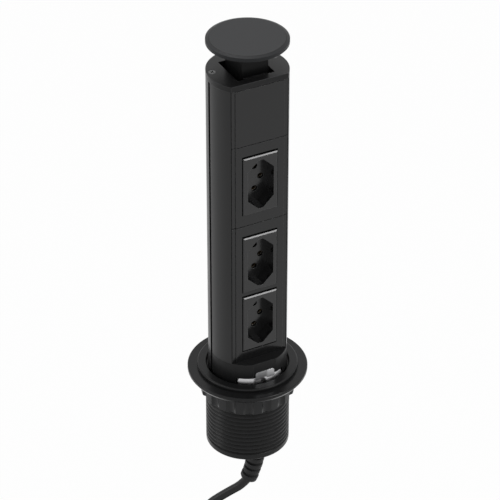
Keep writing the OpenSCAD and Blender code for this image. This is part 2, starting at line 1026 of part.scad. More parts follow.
module base_block() {
    screw_room = 2.5;
    boss_low = 8;
    color("#333436")
        difference() {
            union() {
                pipe(tower_r, base_r, base_bottom, base_top);
                post([0, 0], base_r + 0.5, base_top - base_top_t, base_top);
                difference() {
                    pipe(spigot_r, spigot_r - spigot_wall, base_top - 1, base_top + spigot_h);
                    block(
                        [-tower_r, -tower_r, base_top - 2],
                        [tower_r, spigot_y, base_top + spigot_h + past]
                    );
                }
                intersection() {
                    post([0, 0], base_r + 0.5, boss_low, base_top - 1);
                    at_ports()
                        post([0, 0], 4.6, boss_low, base_top - 1);
                }
                intersection() {
                    post([0, 0], base_r + 0.5, base_bottom, shelf_top);
                    union() {
                        block([-13, bus_y - 7, shelf_top - shelf_t], [13, tower_r, shelf_top]);
                        for (turn = [60, 180, 300])
                            rotate(turn)
                                post([cover_boss_at, 0], cover_boss_r, base_bottom + 0.5, cover_boss_top);
                    }
                }
            }
            block(
                [-opening_w / 2, opening_y - opening_l / 2, base_top - base_top_t - past],
                [opening_w / 2, opening_y + opening_l / 2, base_top + past]
            );
            block(
                [-10.5, bus_y - 3.5, shelf_top - shelf_t - past],
                [8.5, neutral_y + 4, shelf_top + past]
            );
            at_ports() {
                post([0, 0], screw_room, boss_low - past, base_screw_seat);
                post([0, 0], 1.3 + screw_gap, base_screw_seat - past, base_top + past);
            }
            for (turn = [60, 180, 300])
                rotate(turn)
                    post([cover_boss_at, 0], cover_hole_r, base_bottom - past, cover_screw_top + 1);
            grooves(groove_bottom, base_top + past);
            block([-chord_w / 2, -tower_r - past, tongue_low], [chord_w / 2, -chord_y, base_top + past]);
            front_sector(band_turn[0] - 3, band_turn[1] + 4)
                pipe(tower_r + past, band_groove_r, band_z - 0.5, band_z + band_h + 0.5);
            rotate(rivet_turn)
                hole_y(0, rivet_z, 1.2 + screw_gap, -tower_r, -base_r + past);
        }
}

tongue_low = band_z + band_h - 1.5;

// Keeps what lies between two turns from the front, counted towards +X
module front_sector(from, to) {
    reach = 2 * tower_r;
    intersection() {
        children();
        translate([0, 0, -reach])
            linear_extrude(2 * reach)
                polygon([
                    [0, 0],
                    [reach * sin(from), -reach * cos(from)],
                    [reach * sin((from + to) / 2), -reach * cos((from + to) / 2)],
                    [reach * sin(to), -reach * cos(to)]
                ]);
    }
}

module base_screws() {
    color("#9a9da0")
        at_ports()
            translate([0, 0, base_screw_seat])
                mirror([0, 0, 1])
                    cheese(2.2, 2, 1.3, base_screw_l);
}

module friction_spring() {
    color("#c9ccd0")
        difference() {
            union() {
                front_sector(band_turn[0], band_turn[1])
                    pipe(band_out, band_in, band_z, band_z + band_h);
                block(
                    [-tongue_w / 2, -tongue_back - tongue_t, tongue_low + 0.1],
                    [tongue_w / 2, -tongue_back, tongue_top]
                );
            }
            rotate(rivet_turn)
                hole_y(0, rivet_z, 1.2 + screw_gap, -tower_r - past, -base_r);
        }
}

module spring_rivet() {
    color("#55585c")
        rotate(rivet_turn) {
            hole_y(0, rivet_z, 1.2, -band_out - 0.1, -base_r - 0.2);
            hole_y(0, rivet_z, 1.8, -band_out - 0.35, -band_out);
        }
}

module base_cover() {
    at = in_plane(lead_root);
    color("#2e2f31")
        difference() {
            union() {
                post([0, 0], tower_r - cover_gap, cover_bottom, base_bottom);
                block(
                    [at[0] - clamp_half_w, at[1] + clamp_slit, cover_bottom + 1],
                    [at[0] + clamp_half_w, at[1] + clamp_seat_t, clamp_high + 1]
                );
            }
            post(at, boot_root_d / 2 + fit, cover_bottom - past, base_bottom + 2);
            post(at, cord_room, cover_bottom, clamp_high + 2);
            for (s = [-1, 1])
                hole_y(at[0] + s * clamp_screw_x, clamp_mid, clamp_hole_r, at[1], at[1] + clamp_seat_t - 2);
            for (turn = [60, 180, 300])
                rotate(turn) {
                    post([cover_boss_at, 0], cover_hole_r, cover_bottom - past, base_bottom + past);
                    translate([cover_boss_at, 0, cover_bottom - 0.01])
                        cylinder(h = 1.2, r1 = 2.4, r2 = 1.2);
                }
        }
}

module base_cover_screws() {
    color("#9a9da0")
        for (turn = [60, 180, 300])
            rotate(turn)
                translate([cover_boss_at, 0, cover_bottom + 0.05])
                    mirror([0, 0, 1])
                        countersunk(2.2, cover_hole_r - screw_gap, cover_screw_l);
}

module cord_clamp() {
    at = in_plane(lead_root);
    color("#2a2b2c")
        difference() {
            block(
                [at[0] - clamp_half_w, at[1] - clamp_t, clamp_low],
                [at[0] + clamp_half_w, at[1] - clamp_slit, clamp_high]
            );
            post(at, cord_room, base_bottom, clamp_high + 2);
            for (s = [-1, 1])
                hole_y(at[0] + s * clamp_screw_x, clamp_mid, clamp_hole_r, at[1] - clamp_t - past, at[1]);
        }
}

module clamp_screws() {
    at = in_plane(lead_root);
    color("#9a9da0")
        for (s = [-1, 1])
            translate([at[0] + s * clamp_screw_x, at[1] - clamp_t, clamp_mid])
                rotate([90, 0, 0])
                    cheese(2, 1.4, clamp_hole_r - screw_gap, clamp_t + clamp_seat_t - 2.5);
}

module terminal_block() {
    front = bus_y - 5;
    back = neutral_y + 6;
    low = shelf_top;
    high = shelf_top + block_h;
    color("#e4e2da")
        difference() {
            block([-12, front, low], [12, back, high]);
            for (p = terminal_places) {
                block(
                    [p[0] - bus_w / 2 - fit, p[1] - bus_t / 2 - fit, bus_low - 1],
                    [p[0] + bus_w / 2 + fit, p[1] + bus_t / 2 + fit, high + past]
                );
                post(p, wire_r + fit, low - past, wire_top + 1);
                for (z = [low + 4, high - 5])
                    hole_y(p[0], z, 1.2 + screw_gap, p[1], back + past);
            }
        }
}

// Places of the live, neutral and earth clamps
terminal_places = [
    [live_x, bus_y + bus_t / 2],
    [0, neutral_y + bus_t / 2],
    [earth_offset, bus_y + bus_t / 2]
];

module terminal_screws() {
    back = neutral_y + 6;
    color("#9a9da0")
        for (p = terminal_places, top = [0, 1]) {
            z = top == 1 ? shelf_top + block_h - 5 : shelf_top + 4;
            reach = top == 1 ? bus_t / 2 + 0.1 : wire_r + 0.1;
            hole_y(p[0], z, 1.2, p[1] + reach, back - 0.6);
        }
}

// Insulated wire from the end of the sheath up to a terminal
module wire(p, side) {
    steps = 10;
    foot = in_plane(lead_root);
    start = [foot[0] + side[0], foot[1] + side[1]];
    rise = [
        for (i = [0:steps])
            let (
                t = i / steps,
                s = t * t * (3 - 2 * t),
                z = wire_spread_low + (wire_spread_top - wire_spread_low) * t
            )
                [start[0] + (p[0] - start[0]) * s, start[1] + (p[1] - start[1]) * s, z]
    ];
    low = [start[0], start[1], sheath_top];
    tube_along(concat([low], rise, [[p[0], p[1], wire_top]]), [wire_r], 12, [1, 0, 0]);
}

module live_wire() {
    color("#7a4a2a")
        wire(terminal_places[0], [-1.9, -0.7]);
}

module neutral_wire() {
    color("#2d62b0")
        wire(terminal_places[1], [-0.1, 1.95]);
}

module earth_wire() {
    color("#9bb83a")
        wire(terminal_places[2], [1.9, -0.9]);
}

module sheath_end() {
    at = in_plane(lead_root);
    color("#1f2022")
        post(at, cord_d / 2, base_bottom, sheath_top);
}

module strain_relief() {
    count = 44;
    across = [lead_way[1], -lead_way[0], 0];
    stops = len(boot_route) - 1;
    route = [
        for (i = [0:count])
            let (t = i / count * stops, k = min(floor(t), stops - 1), s = t - k)
                in_plane(boot_route[k] * (1 - s) + boot_route[k + 1] * s)
    ];
    radii = [
        for (i = [0:count])
            let (t = i / count, taper = (boot_root_d + (boot_end_d - boot_root_d) * t) / 2)
                i > 14 && i < count - 4 && (i + 3) % 6 > 3 ? taper - 1.2 : taper
    ];
    color("#232425")
        tube_along(route, radii, 20, across);
}

module cap_disc() {
    color("#46474a")
        difference() {
            rotate_extrude()
                polygon([
                    [0, cap_z],
                    [tower_r - 0.3, cap_z],
                    [tower_r, cap_z + 0.3],
                    [tower_r, cap_z + cap_t - cap_bevel_h],
                    [tower_r - cap_bevel, cap_z + cap_t],
                    [0, cap_z + cap_t]
                ]);
            for (s = [-1, 1])
                post([0, stem_y + s * cap_screw_y], cap_hole_r, cap_z - past, cap_z + 3);
        }
}

module cap_stem() {
    low = [-stem_w / 2, stem_front, foot_top];
    high = [stem_w / 2, stem_front + stem_l, cap_z];
    color("#3a3b3d")
        difference() {
            union() {
                round_post(low, high, stem_r);
                block(
                    [-stem_w / 2 + stem_r, stem_front - stem_lip, stem_lip_z],
                    [stem_w / 2 - stem_r, stem_front + past, stem_lip_z + stem_lip_h]
                );
            }
            block(
                [low[0] + stem_wall, low[1] + stem_wall, foot_top - past],
                [high[0] - stem_wall, high[1] - stem_wall, cap_z - 3]
            );
            for (s = [-1, 1])
                post([0, stem_y + s * cap_screw_y], cap_hole_r, cap_z - 3 - past, cap_z + past);
        }
}

module stem_foot() {
    color("#4a4b4d")
        difference() {
            block(
                [-foot_w / 2, slot_y - foot_l / 2, foot_low],
                [foot_w / 2, slot_y + foot_l / 2, foot_top]
            );
            for (s = [-1, 1]) {
                post([0, stem_y + s * cap_screw_y], cap_hole_r, foot_low - past, foot_top + past);
                post([0, stem_y + s * cap_screw_y], cap_head_r + 0.2, foot_low - past, cap_screw_seat);
            }
        }
}

module cap_screws() {
    color("#9a9da0")
        for (s = [-1, 1])
            translate([0, stem_y + s * cap_screw_y, cap_screw_seat])
                mirror([0, 0, 1])
                    cheese(cap_head_r, 1.3, cap_screw_r, cap_z + 2.8 - cap_screw_seat);
}

module cord() {
    across = [lead_way[1], -lead_way[0], 0];
    color("#1f2022") {
        tube_along([for (p = lead_route) in_plane(p)], [cord_d / 2], 12, across);
        tube_along([for (p = tail_route) in_plane(p)], [cord_d / 2], 12, across);
    }
}

// Stands a shape drawn in the lead's plane upright, with the given thickness about the hank's middle
module upright(thick) {
    turn = atan2(lead_way[1], lead_way[0]);
    translate([0, 0, base_bottom])
        rotate([90, 0, turn])
            translate([0, 0, hank_side - thick / 2])
                linear_extrude(thick)
                    children();
}

// Outline of the hank, grown by the given amount
module hank_outline(grow) {
    half = hank_w / 2 + cord_d / 2 + grow;
    translate([hank_mid, hank_top])
        circle(r = half);
    translate([hank_mid, hank_top - hank_run])
        circle(r = half);
    translate([hank_mid - half, hank_top - hank_run])
        square([2 * half, hank_run]);
}

module cord_hank() {
    color("#1f2022")
        upright(hank_t)
            hank_outline(0);
}

module hank_tie() {
    mid = hank_top - hank_run / 2;
    color("#2a2b2c")
        difference() {
            upright(hank_t + 2 * fit + 2)
                intersection() {
                    hank_outline(fit + 1);
                    translate([hank_mid - hank_w, mid - tie_h / 2])
                        square([2 * hank_w, tie_h]);
                }
            upright(hank_t + 2 * fit)
                hank_outline(fit);
        }
}

module plug_body() {
    at = in_plane(tail_route[2]);
    turn = atan2(lead_way[1], lead_way[0]);
    color("#1f2022")
        translate(at)
            rotate(turn) {
                translate([0, 0, -plug_boot_l])
                    cylinder(h = plug_boot_l, r1 = 7, r2 = cord_d / 2 + 0.9);
                round_post(
                    [-plug_w / 2, -plug_t / 2, -plug_boot_l - plug_l],
                    [plug_w / 2, plug_t / 2, -plug_boot_l],
                    4
                );
            }
}

module plug_pins() {
    at = in_plane(tail_route[2]);
    turn = atan2(lead_way[1], lead_way[0]);
    color("#b9bcc0")
        translate([at[0], at[1], at[2] - plug_boot_l - plug_l])
            rotate(turn)
                for (p = pin_places)
                    post([p[1], p[0] - earth_offset / 2], pin_d / 2, -plug_pin_l, 0);
}

barrel();
bezel_ring();
bezel_screws();
glide_ring();
guide_pins();
seat_gasket();
clamp_washer();
nut();
tower_profile();
end_plate();
end_plate_screws();
panel_blank();
panel_single();
panel_double();
socket_insert_top();
socket_insert_middle();
socket_insert_bottom();
recess_floor_top();
recess_floor_middle();
recess_floor_bottom();
contact_carrier_top();
contact_carrier_middle();
contact_carrier_bottom();
carrier_screws();
live_busbar();
neutral_busbar();
earth_busbar();
cap_guide();
guide_screws();
cap_spring();
base_block();
base_screws();
friction_spring();
spring_rivet();
base_cover();
base_cover_screws();
terminal_block();
terminal_screws();
live_wire();
neutral_wire();
earth_wire();
sheath_end();
cord_clamp();
clamp_screws();
strain_relief();
cap_disc();
cap_stem();
stem_foot();
cap_screws();
cord();
cord_hank();
hank_tie();
plug_body();
plug_pins();
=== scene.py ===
"""Pop up desk socket, raised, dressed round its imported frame."""
import json
import math

import bmesh
import bpy
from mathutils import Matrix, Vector

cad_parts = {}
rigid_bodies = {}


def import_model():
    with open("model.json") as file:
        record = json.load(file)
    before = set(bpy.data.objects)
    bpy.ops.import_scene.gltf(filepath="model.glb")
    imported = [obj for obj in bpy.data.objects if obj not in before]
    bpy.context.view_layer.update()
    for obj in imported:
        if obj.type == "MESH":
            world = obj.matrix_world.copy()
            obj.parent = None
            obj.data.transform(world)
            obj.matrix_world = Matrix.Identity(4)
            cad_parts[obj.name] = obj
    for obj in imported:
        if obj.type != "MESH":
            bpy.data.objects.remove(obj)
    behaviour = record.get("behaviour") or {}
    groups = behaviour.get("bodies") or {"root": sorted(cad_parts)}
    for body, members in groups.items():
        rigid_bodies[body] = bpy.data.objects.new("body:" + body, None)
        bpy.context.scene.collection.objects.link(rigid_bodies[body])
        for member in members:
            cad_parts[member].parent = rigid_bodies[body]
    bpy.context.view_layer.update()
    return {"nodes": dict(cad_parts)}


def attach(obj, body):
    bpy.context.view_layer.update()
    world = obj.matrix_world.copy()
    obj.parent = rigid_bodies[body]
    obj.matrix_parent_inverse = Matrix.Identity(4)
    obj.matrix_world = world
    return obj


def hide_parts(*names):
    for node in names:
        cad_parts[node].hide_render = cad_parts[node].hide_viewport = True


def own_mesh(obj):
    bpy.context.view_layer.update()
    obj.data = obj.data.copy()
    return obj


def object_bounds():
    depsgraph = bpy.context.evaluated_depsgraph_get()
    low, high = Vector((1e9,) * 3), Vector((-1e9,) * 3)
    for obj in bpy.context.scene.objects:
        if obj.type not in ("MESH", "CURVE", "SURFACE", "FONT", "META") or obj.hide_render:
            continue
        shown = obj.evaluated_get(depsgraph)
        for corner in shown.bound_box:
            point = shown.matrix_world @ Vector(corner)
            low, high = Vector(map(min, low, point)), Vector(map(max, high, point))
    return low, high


for leftover in list(bpy.data.objects):
    bpy.data.objects.remove(leftover)
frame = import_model()
NODES = frame["nodes"]

# The studio: a long lens looks down on the socket from its left front, as in the photograph.
# A white room shows behind it and in its reflections, and small lamps light its edges.
VIEW_TURN = math.radians(-27.5)
VIEW_DROP = math.radians(34)
VIEW_DISTANCE = 1.542
EYE_HEIGHT = 1.1495
SENSOR_MM = 36
PIXELS_WIDE = 500
FOCAL_PIXELS = 2500
AXIS_COLUMN = 247.5

camera_data = bpy.data.cameras.new("camera")
camera_data.sensor_width = SENSOR_MM
camera_data.lens = SENSOR_MM * FOCAL_PIXELS / PIXELS_WIDE
camera_data.shift_x = (PIXELS_WIDE / 2 - AXIS_COLUMN) / PIXELS_WIDE
camera_data.clip_end = 10
camera = bpy.data.objects.new("camera", camera_data)
camera.location = (
    VIEW_DISTANCE * math.sin(VIEW_TURN),
    -VIEW_DISTANCE * math.cos(VIEW_TURN),
    EYE_HEIGHT,
)
camera.rotation_euler = (math.pi / 2 - VIEW_DROP, 0, VIEW_TURN)
bpy.context.scene.collection.objects.link(camera)
bpy.context.scene.camera = camera
bpy.context.scene.view_settings.view_transform = "Standard"


class Socket:
    """One output of a finish's shader nodes, with arithmetic on it."""

    def __init__(self, tree, link):
        self.tree = tree
        self.link = link

    def node(self, kind, settings=None, sockets=None, out=0):
        """Adds a node: its settings first, then the values or links of its sockets."""
        made = self.tree.nodes.new(kind)
        for name, value in (settings or {}).items():
            if name == "stops":
                ramp = made.color_ramp.elements
                while len(ramp) < len(value):
                    ramp.new(0.5)
                for element, (place, shade) in zip(ramp, value):
                    element.position = place
                    element.color = (shade, shade, shade, 1)
            else:
                setattr(made, name, value)
        for name, value in (sockets or {}).items():
            if isinstance(value, Socket):
                self.tree.links.new(value.link, made.inputs[name])
            else:
                made.inputs[name].default_value = value
        return Socket(self.tree, made.outputs[out])

    def math(self, operation, first, second=0.0):
        return self.node("ShaderNodeMath", {"operation": operation}, {0: first, 1: second})

    def __add__(self, other):
        return self.math("ADD", self, other)

    __radd__ = __add__

    def __sub__(self, other):
        return self.math("SUBTRACT", self, other)

    def __rsub__(self, other):
        return self.math("SUBTRACT", other, self)

    def __mul__(self, other):
        return self.math("MULTIPLY", self, other)

    __rmul__ = __mul__

    def noise(self, scale, detail=3.0, roughness=0.5):
        return self.node(
            "ShaderNodeTexNoise",
            {},
            {"Vector": self, "Scale": scale, "Detail": detail, "Roughness": roughness},
        )

    def stretched(self, across, along, up):
        """These coordinates scaled on each axis, for a grain that runs one way."""
        return self.node(
            "ShaderNodeVectorMath", {"operation": "MULTIPLY"}, {0: self, 1: (across, along, up)}
        )

    def from_axis(self):
        """Distance of these coordinates from the tower's axis."""
        flat = self.stretched(1, 1, 0)
        return self.node("ShaderNodeVectorMath", {"operation": "LENGTH"}, {0: flat}, out=1)

    def steps(self, *stops):
        """A ramp of (place, shade) stops over this value."""
        return self.node("ShaderNodeValToRGB", {"stops": stops}, {"Fac": self})

    def tint(self, low, high):
        """A colour between two, each a tuple or a socket, by this value."""
        ends = [end if isinstance(end, Socket) else (*end, 1) for end in (low, high)]
        return self.node(
            "ShaderNodeMix", {"data_type": "RGBA"}, {0: self, 6: ends[0], 7: ends[1]}, out=2
        )

    def worn_and_highlit_edges(self, reach):
        """1 along edges and 0 on flats: where a rounded normal leaves the flat one. Colours use it
        to paint edges lighter, partly for rubbing and partly as a painted highlight.
        """
        rounded = self.node("ShaderNodeBevel", {"samples": 4}, {"Radius": reach})
        flat = self.node("ShaderNodeNewGeometry", out=1)
        agree = self.node(
            "ShaderNodeVectorMath", {"operation": "DOT_PRODUCT"}, {0: rounded, 1: flat}, out=1
        )
        return self.node(
            "ShaderNodeMapRange", {}, {"Value": agree, "From Min": 0.995, "From Max": 0.85}
        )


def start_finish(name):
    """A new material and its object coordinates."""
    made = bpy.data.materials.new(name)
    made.use_nodes = True
    made.node_tree.nodes.clear()
    texture = made.node_tree.nodes.new("ShaderNodeTexCoord")
    return made, Socket(made.node_tree, texture.outputs["Object"])


def end_finish(made, place, relief=None, relief_depth=0.0, edge=0.0, **sockets):
    """The surface itself. relief is bump height from 0 to 1 over relief_depth metres, and edge
    the radius that sharp edges are seen rounded to."""
    bend = None
    if edge:
        bend = place.node("ShaderNodeBevel", {"samples": 4}, {"Radius": edge})
    if relief is not None:
        inputs = {"Height": relief, "Distance": relief_depth, "Strength": 1.0}
        if bend is not None:
            inputs["Normal"] = bend
        bend = place.node("ShaderNodeBump", {}, inputs)
    values = {name.replace("_", " "): value for name, value in sockets.items()}
    if bend is not None:
        values["Normal"] = bend
    surface = place.node("ShaderNodeBsdfPrincipled", {}, values)
    output = made.node_tree.nodes.new("ShaderNodeOutputMaterial")
    made.node_tree.links.new(surface.link, output.inputs["Surface"])
    return made


def dress(made, *names):
    """Gives CAD nodes a finish."""
    for name in names:
        NODES[name].data.materials.clear()
        NODES[name].data.materials.append(made)


# White room. The surfaces behind the camera's view are white, and so is what metal mirrors.
# Three lamps, small and bright as a product studio's, give the edges their thin bright lines.
ROOM_SHADE = 0.28
world = bpy.data.worlds.new("room")
bpy.context.scene.world = world
world.use_nodes = True
world.node_tree.nodes.clear()
path = world.node_tree.nodes.new("ShaderNodeLightPath")
seen = Socket(world.node_tree, path.outputs["Is Camera Ray"])
mirrored = Socket(world.node_tree, path.outputs["Is Glossy Ray"])
through = Socket(world.node_tree, path.outputs["Is Transmission Ray"])
is_seen = seen.math("MINIMUM", seen + mirrored + through, 1.0)
room = seen.node(
    "ShaderNodeBackground",
    {},
    {"Color": (1, 1, 1, 1), "Strength": is_seen * (1 - ROOM_SHADE) + ROOM_SHADE},
)
room_output = world.node_tree.nodes.new("ShaderNodeOutputWorld")
world.node_tree.links.new(room.link, room_output.inputs["Surface"])


def add_lamp(name, turn, rise, reach, size, glow):
    """A square lamp of the given glow, at a turn round the tower and a rise over its middle."""
    lamp = bpy.data.lights.new(name, "AREA")
    lamp.shape = "SQUARE"
    lamp.size = size
    lamp.energy = 4 * size * size * glow
    holder = bpy.data.objects.new(name, lamp)
    turn, rise = math.radians(turn), math.radians(rise)
    middle = Vector((0, 0, 0.12))
    away = Vector(
        (math.cos(rise) * math.sin(turn), -math.cos(rise) * math.cos(turn), math.sin(rise))
    )
    holder.location = middle + reach * away
    holder.rotation_euler = (-away).to_track_quat("-Z", "Y").to_euler()
    bpy.context.scene.collection.objects.link(holder)


add_lamp("right lamp", 34, 47, 1.5, 0.42, 7)
add_lamp("left lamp", -108, 20, 1.5, 0.50, 2.6)
add_lamp("back lamp", 165, 62, 1.6, 0.50, 5)

# Floor, under the plug when the tower is lowered as far as it goes. It is white to the camera
# and takes the object's shadow.
TOWER_TRAVEL = 0.2614
FLOOR_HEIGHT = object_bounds()[0][2] - TOWER_TRAVEL - 0.004
FLOOR_HALF = 6.0
bpy.ops.mesh.primitive_plane_add(size=2 * FLOOR_HALF, location=(0, 0, FLOOR_HEIGHT))
floor = bpy.context.object
floor.name = "floor"
floor_paint, floor_place = start_finish("floor white")
floor_path = floor_paint.node_tree.nodes.new("ShaderNodeLightPath")
floor_seen = Socket(floor_paint.node_tree, floor_path.outputs["Is Camera Ray"])
floor_gloss = Socket(floor_paint.node_tree, floor_path.outputs["Is Glossy Ray"])
floor_through = Socket(floor_paint.node_tree, floor_path.outputs["Is Transmission Ray"])
floor_white = floor_place.node(
    "ShaderNodeEmission",
    {},
    {"Color": (1, 1, 1, 1), "Strength": 1.0},
)
floor_pale = floor_place.node("ShaderNodeBsdfDiffuse", {}, {"Color": (0.8, 0.8, 0.8, 1)})
floor_mix = floor_place.node(
    "ShaderNodeMixShader",
    {},
    {
        0: 0.98 * floor_seen.math("MINIMUM", floor_seen + floor_gloss + floor_through, 1.0),
        1: floor_pale,
        2: floor_white,
    },
)
floor_output = floor_paint.node_tree.nodes.new("ShaderNodeOutputMaterial")
floor_paint.node_tree.links.new(floor_mix.link, floor_output.inputs["Surface"])
floor.data.materials.append(floor_paint)

# Lead: a round black rubber-sheathed cable. It leaves the boot under the tower, drops away to
# the left and ends in a hanging hank, tied round its middle, with the plug under it.
LEAD_DIAMETER = 0.0072
LEAD_WAY = (0.887, -0.462)
LEAD_ROUTE = [
    (0.56, -107.4), (-1.1, -110.2), (-3.5, -113.2), (-7.2, -116.9), (-12, -120.3),
    (-18, -124.7), (-24, -129.3), (-29, -133.8), (-32.8, -139.4), (-35.1, -146),
    (-35.9, -153), (-35.9, -162), (-35.9, -170),
]
HANK_MIDDLE = -6.7
HANK_TOP = -177.0
HANK_RUN = 86.0
OUTER_FOLD = 29.2
INNER_FOLD = 22.0
TAIL_END = -300.0
MM = 0.001


def in_plane(along, height, side=0.0):
    """A point of the lead's upright plane, in millimetres along it, up, and off to one side."""
    return Vector(
        (
            (along * LEAD_WAY[0] + side * LEAD_WAY[1]) * MM,
            (along * LEAD_WAY[1] - side * LEAD_WAY[0]) * MM,
            height * MM,
        )
    )


def ease(value, start, end):
    """0 before start, 1 after end and smooth between them."""
    t = min(max((value - start) / (end - start), 0), 1)
    return t * t * (3 - 2 * t)


def hank_turns():
    """Points of the hank: two turns inwards on the outside, then three back on the inside. The
    outer turns step sideways on their last third, the inner ones on their first."""
    gap = LEAD_DIAMETER / MM
    turns = [
        (OUTER_FOLD, OUTER_FOLD, 0, gap),
        (OUTER_FOLD, OUTER_FOLD, gap, 2 * gap),
        (OUTER_FOLD, INNER_FOLD, 2 * gap, 2 * gap),
        (INNER_FOLD, INNER_FOLD, 2 * gap, gap),
        (INNER_FOLD, INNER_FOLD, gap, 0),
    ]
    run_steps, fold_steps = 6, 12
    steps = 2 * (run_steps + fold_steps)
    points = []
    for number, (fold, next_fold, side, next_side) in enumerate(turns):
        for step in range(steps):
            part = step / steps
            radius = fold + (next_fold - fold) * ease(part, 1 / 3, 2 / 3)
            window = (2 / 3, 1) if number < 2 else (0, 1 / 3)
            off = side + (next_side - side) * ease(part, *window)
            if step < run_steps:
                x, z = -radius, HANK_TOP - HANK_RUN * step / run_steps
            elif step < run_steps + fold_steps:
                angle = math.pi * (step - run_steps) / fold_steps
                x, z = -radius * math.cos(angle), HANK_TOP - HANK_RUN - radius * math.sin(angle)
            elif step < 2 * run_steps + fold_steps:
                share = (step - run_steps - fold_steps) / run_steps
                x, z = radius, HANK_TOP - HANK_RUN * (1 - share)
            else:
                angle = math.pi * (step - 2 * run_steps - fold_steps) / fold_steps
                x, z = radius * math.cos(angle), HANK_TOP + radius * math.sin(angle)
            points.append(in_plane(HANK_MIDDLE + x, z, off))
    return points


lead_line = [in_plane(*point) for point in LEAD_ROUTE] + hank_turns()
for height in range(int(HANK_TOP), int(TAIL_END), -12):
    lead_line.append(in_plane(HANK_MIDDLE - INNER_FOLD, height))
lead_line.append(in_plane(HANK_MIDDLE - INNER_FOLD, TAIL_END))


def lead_piece():
    """The lead as a smooth curve with round section through its line."""
    curve = bpy.data.curves.new("lead", "CURVE")
    curve.dimensions = "3D"
    curve.bevel_depth = LEAD_DIAMETER / 2
    curve.bevel_resolution = 6
    curve.resolution_u = 3
    curve.use_fill_caps = True
    spline = curve.splines.new("BEZIER")
    spline.bezier_points.add(len(lead_line) - 1)
    last = len(lead_line) - 1
    for number, point in enumerate(lead_line):
        knot = spline.bezier_points[number]
        before, after = lead_line[max(number - 1, 0)], lead_line[min(number + 1, last)]
        way = (after - before).normalized()
        knot.co = point
        knot.handle_left = point - way * (point - before).length / 3
        knot.handle_right = point + way * (after - point).length / 3
    piece = bpy.data.objects.new("lead", curve)
    bpy.context.scene.collection.objects.link(piece)
    return piece


lead = lead_piece()
lead_skin, place = start_finish("lead sheath")
grain = place.noise(900, 4)
smear = place.noise(60, 2)
end_finish(
    lead_skin,
    place,
    relief=grain,
    relief_depth=0.00004,
    Base_Color=smear.tint((0.009, 0.009, 0.0095), (0.014, 0.014, 0.0145)),
    Roughness=0.30 + 0.14 * smear,
    Specular_IOR_Level=0.3,
)
lead.data.materials.append(lead_skin)
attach(lead, "tower")
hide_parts("cord", "cord_hank")

# Boot: black rubber, moulded over the lead where it leaves the tower. It tapers and bends with
# the lead, and the ring grooves in its lower half let it flex.
BOOT_ROUTE = [
    (7, -62), (7, -66), (7, -70), (6.9, -75), (6.7, -80), (6.3, -85), (5.5, -90),
    (4.5, -95), (3.1, -100), (1.9, -104), (0.6, -107.3),
]
BOOT_ROOT_R = 8.2
BOOT_END_R = 6.5
BOOT_COLLAR = 0.35
BOOT_GROOVE_DEPTH = 1.3
BOOT_GROOVE_HALF = 1.35
BOOT_GROOVES = [6.3, 12.4, 18.6, 24.8]
BOOT_SIDES = 40


def smooth_line(points, parts):
    """Points on a smooth curve through the given ones, with so many parts between two."""
    line = []
    last = len(points) - 1
    for number in range(last):
        start, end = points[number], points[number + 1]
        leave = (end - points[max(number - 1, 0)]) / 2
        arrive = (points[min(number + 2, last)] - start) / 2
        for part in range(parts):
            t = part / parts
            line.append(
                (2 * t**3 - 3 * t**2 + 1) * start
                + (t**3 - 2 * t**2 + t) * leave
                + (3 * t**2 - 2 * t**3) * end
                + (t**3 - t**2) * arrive
            )
    return line + [points[-1]]


def loft(name, loops, crease=0.6):
    """A closed skin through loops of points, shaded sharp where it turns more than crease."""
    mesh = bmesh.new()
    rings = [[mesh.verts.new(point) for point in loop] for loop in loops]
    sides = len(rings[0])
    for low, high in zip(rings, rings[1:]):
        for k in range(sides):
            mesh.faces.new((low[k], low[(k + 1) % sides], high[(k + 1) % sides], high[k]))
    mesh.faces.new(list(reversed(rings[0])))
    mesh.faces.new(rings[-1])
    bmesh.ops.recalc_face_normals(mesh, faces=mesh.faces)
    for face in mesh.faces:
        face.smooth = True
    for edge in mesh.edges:
        edge.smooth = edge.calc_face_angle(0) < crease
    data = bpy.data.meshes.new(name)
    mesh.to_mesh(data)
    mesh.free()
    piece = bpy.data.objects.new(name, data)
    bpy.context.scene.collection.objects.link(piece)
    return piece


def boot_loops():
    """Rings along the boot, drawn in at each groove and rounded off at its end."""
    line = smooth_line([in_plane(*point) for point in BOOT_ROUTE], 14)
    across = in_plane(0, 0, 1).normalized()
    to_end = [0.0]
    for here, after in zip(reversed(line[:-1]), reversed(line[1:])):
        to_end.append(to_end[-1] + (after - here).length / MM)
    to_end.reverse()
    loops = []
    last = len(line) - 1
    for number, point in enumerate(line):
        ahead = (line[min(number + 1, last)] - line[max(number - 1, 0)]).normalized()
        first = (across - ahead * across.dot(ahead)).normalized()
        second = ahead.cross(first)
        left = to_end[number]
        radius = BOOT_END_R + (BOOT_ROOT_R - BOOT_END_R) * left / to_end[0]
        radius += BOOT_COLLAR * (1 - ease(left, 4.6, 5.4))
        for groove in BOOT_GROOVES:
            depth = 1 - ease(abs(left - groove), 0.45 * BOOT_GROOVE_HALF, BOOT_GROOVE_HALF)
            radius -= BOOT_GROOVE_DEPTH * depth
        radius -= 0.6 * (1 - ease(left, 0, 0.9))
        loops.append(
            [
                point
                + radius * MM * math.cos(2 * math.pi * k / BOOT_SIDES) * first
                + radius * MM * math.sin(2 * math.pi * k / BOOT_SIDES) * second
                for k in range(BOOT_SIDES)
            ]
        )
    return loops


boot = loft("boot", boot_loops())
boot_rubber, place = start_finish("boot rubber")
bloom = place.noise(55, 4)
end_finish(
    boot_rubber,
    place,
    relief=place.noise(1400, 4),
    relief_depth=0.00005,
    Base_Color=bloom.tint((0.010, 0.010, 0.0105), (0.017, 0.017, 0.0175)),
    Roughness=0.42 + 0.2 * bloom,
    Specular_IOR_Level=0.28,
)
boot.data.materials.append(boot_rubber)
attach(boot, "tower")
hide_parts("strain_relief")
